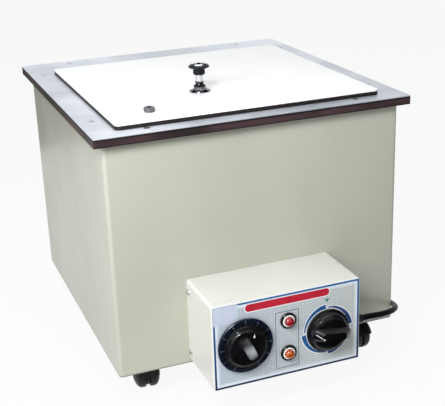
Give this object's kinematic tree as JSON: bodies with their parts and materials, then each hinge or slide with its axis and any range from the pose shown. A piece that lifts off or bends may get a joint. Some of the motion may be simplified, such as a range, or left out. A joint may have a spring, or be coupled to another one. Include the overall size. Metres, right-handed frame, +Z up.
{
  "type": "paraffin wax bath",
  "caption": "Mobile wax-melting bath: steel tank in an insulated cabinet, loose lid with knob and thermometer bush, front control box, twin-wheel castors.",
  "frame": {"origin": "centre of the bottom of the box round everything but the mains lead: on the floor under the wheels", "axes": "+Z up; -Y is the front, where the control box stands out; +X is the right-hand side seen from the front, where the mains lead leaves"},
  "size_m": [0.416, 0.6635, 0.402],
  "materials": {
    "cream_enamel": "cream powder coat, fine satin texture",
    "white_enamel": "white powder coat, satin",
    "stainless": "fine brushed, nearly mirror",
    "galvanised": "dull zinc",
    "zinc_screw": "bright zinc",
    "brown_board": "dark brown sealed board edge",
    "black_board": "near-black sealed board edge",
    "white_laminate": "plain white decorative laminate",
    "chrome": "bright chrome",
    "glass_wool": "yellow wool",
    "heater_sheath": "heat-stained",
    "brass_case": "dull brass",
    "copper_tube": "bare copper",
    "phenolic": "brown moulding",
    "ceramic": "unglazed ceramic",
    "lamp_shell": "off-white moulding",
    "wire_sleeve": "soft sleeve",
    "black_knob": "moulded, half gloss",
    "printed_panel": "pale blue-grey print under a clear film",
    "white_collar": "white moulding",
    "red_lens": "clear red moulding",
    "amber_lens": "clear amber moulding",
    "black_rubber": "matt",
    "lead_sheath": "smooth sheath",
    "plug_moulding": "moulded",
    "plug_brass": "nickel-plated",
    "black_nylon": "moulded nylon",
    "wheel_nylon": "moulded nylon, lightly scuffed",
    "tie_strap": "woven strap"
  },
  "bodies": {
    "bath": {"outer_casing": "cream_enamel", "base_plate": "galvanised", "base_screws": "zinc_screw", "top_board": "brown_board", "wax_tank": "stainless", "flange_screws": "zinc_screw", "side_insulation": "glass_wool", "base_insulation": "glass_wool", "heater_element": "heater_sheath", "heater_clamps": "galvanised", "control_chassis": "white_enamel", "chassis_bolts": "zinc_screw", "control_cover": "white_enamel", "cover_screws": "zinc_screw", "fascia_panel": "printed_panel", "thermostat_body": "brass_case", "thermostat_capillary": "copper_tube", "heat_switch": "phenolic", "lamp_bezels": "black_knob", "lamp_collars": "white_collar", "red_lens": "red_lens", "amber_lens": "amber_lens", "lamp_bodies": "lamp_shell", "terminal_block": "ceramic", "wiring_leads": "wire_sleeve", "cord_gland": "black_rubber", "mains_cord": "lead_sheath", "cord_coil": "lead_sheath", "cord_tail": "lead_sheath", "coil_tie": "tie_strap", "plug_body": "plug_moulding", "plug_pins": "plug_brass", "castor_plates": "zinc_screw", "castor_screws": "zinc_screw"},
    "lid": {"lid_board": "black_board", "lid_skin": "white_laminate", "lid_rim": "stainless", "lid_knob": "chrome", "thermometer_bush": "chrome", "lid_fasteners": "zinc_screw"},
    "temperature_dial": {"thermostat_shaft": "zinc_screw", "thermostat_dial": "black_knob"},
    "heat_control": {"heat_shaft": "zinc_screw", "heat_knob": "black_knob"},
    "castor_front_left": {"castor_hood_fl": "black_nylon", "castor_axle_fl": "zinc_screw"},
    "wheel_front_left_a": {"wheel_fl_a": "wheel_nylon"},
    "wheel_front_left_b": {"wheel_fl_b": "wheel_nylon"},
    "castor_front_right": {"castor_hood_fr": "black_nylon", "castor_axle_fr": "zinc_screw"},
    "wheel_front_right_a": {"wheel_fr_a": "wheel_nylon"},
    "wheel_front_right_b": {"wheel_fr_b": "wheel_nylon"},
    "castor_back_left": {"castor_hood_bl": "black_nylon", "castor_axle_bl": "zinc_screw"},
    "wheel_back_left_a": {"wheel_bl_a": "wheel_nylon"},
    "wheel_back_left_b": {"wheel_bl_b": "wheel_nylon"},
    "castor_back_right": {"castor_hood_br": "black_nylon", "castor_axle_br": "zinc_screw"},
    "wheel_back_right_a": {"wheel_br_a": "wheel_nylon"},
    "wheel_back_right_b": {"wheel_br_b": "wheel_nylon"}
  },
  "joints": [
    {"name": "lid_lift", "type": "slide", "parent": "bath", "child": "lid", "axis": [0, 0, 1], "range_m": [0, 0.25]},
    {"name": "thermostat_turn", "type": "hinge", "parent": "bath", "child": "temperature_dial", "pos_m": [-0.0595, -0.2396, 0.1055], "axis": [0, 1, 0], "range_deg": [-20, 250]},
    {"name": "heat_turn", "type": "hinge", "parent": "bath", "child": "heat_control", "pos_m": [0.049, -0.2396, 0.101], "axis": [0, 1, 0], "range_deg": [-258, 72]},
    {"name": "castor_swivel_front_left", "type": "hinge", "parent": "bath", "child": "castor_front_left", "pos_m": [-0.147, -0.119, 0.04], "axis": [0, 0, 1], "continuous": true},
    {"name": "wheel_spin_front_left_a", "type": "hinge", "parent": "castor_front_left", "child": "wheel_front_left_a", "pos_m": [-0.14564, -0.10607, 0.019], "axis": [-0.9945, 0.1045, 0], "continuous": true},
    {"name": "wheel_spin_front_left_b", "type": "hinge", "parent": "castor_front_left", "child": "wheel_front_left_b", "pos_m": [-0.14564, -0.10607, 0.019], "axis": [-0.9945, 0.1045, 0], "continuous": true},
    {"name": "castor_swivel_front_right", "type": "hinge", "parent": "bath", "child": "castor_front_right", "pos_m": [0.147, -0.119, 0.04], "axis": [0, 0, 1], "continuous": true},
    {"name": "wheel_spin_front_right_a", "type": "hinge", "parent": "castor_front_right", "child": "wheel_front_right_a", "pos_m": [0.14836, -0.13193, 0.019], "axis": [0.9945, 0.1045, 0], "continuous": true},
    {"name": "wheel_spin_front_right_b", "type": "hinge", "parent": "castor_front_right", "child": "wheel_front_right_b", "pos_m": [0.14836, -0.13193, 0.019], "axis": [0.9945, 0.1045, 0], "continuous": true},
    {"name": "castor_swivel_back_left", "type": "hinge", "parent": "bath", "child": "castor_back_left", "pos_m": [-0.147, 0.215, 0.04], "axis": [0, 0, 1], "continuous": true},
    {"name": "wheel_spin_back_left_a", "type": "hinge", "parent": "castor_back_left", "child": "wheel_back_left_a", "pos_m": [-0.1405, 0.22626, 0.019], "axis": [-0.866, 0.5, 0], "continuous": true},
    {"name": "wheel_spin_back_left_b", "type": "hinge", "parent": "castor_back_left", "child": "wheel_back_left_b", "pos_m": [-0.1405, 0.22626, 0.019], "axis": [-0.866, 0.5, 0], "continuous": true},
    {"name": "castor_swivel_back_right", "type": "hinge", "parent": "bath", "child": "castor_back_right", "pos_m": [0.147, 0.215, 0.04], "axis": [0, 0, 1], "continuous": true},
    {"name": "wheel_spin_back_right_a", "type": "hinge", "parent": "castor_back_right", "child": "wheel_back_right_a", "pos_m": [0.1409, 0.22648, 0.019], "axis": [-0.8829, -0.4695, 0], "continuous": true},
    {"name": "wheel_spin_back_right_b", "type": "hinge", "parent": "castor_back_right", "child": "wheel_back_right_b", "pos_m": [0.1409, 0.22648, 0.019], "axis": [-0.8829, -0.4695, 0], "continuous": true}
  ]
}
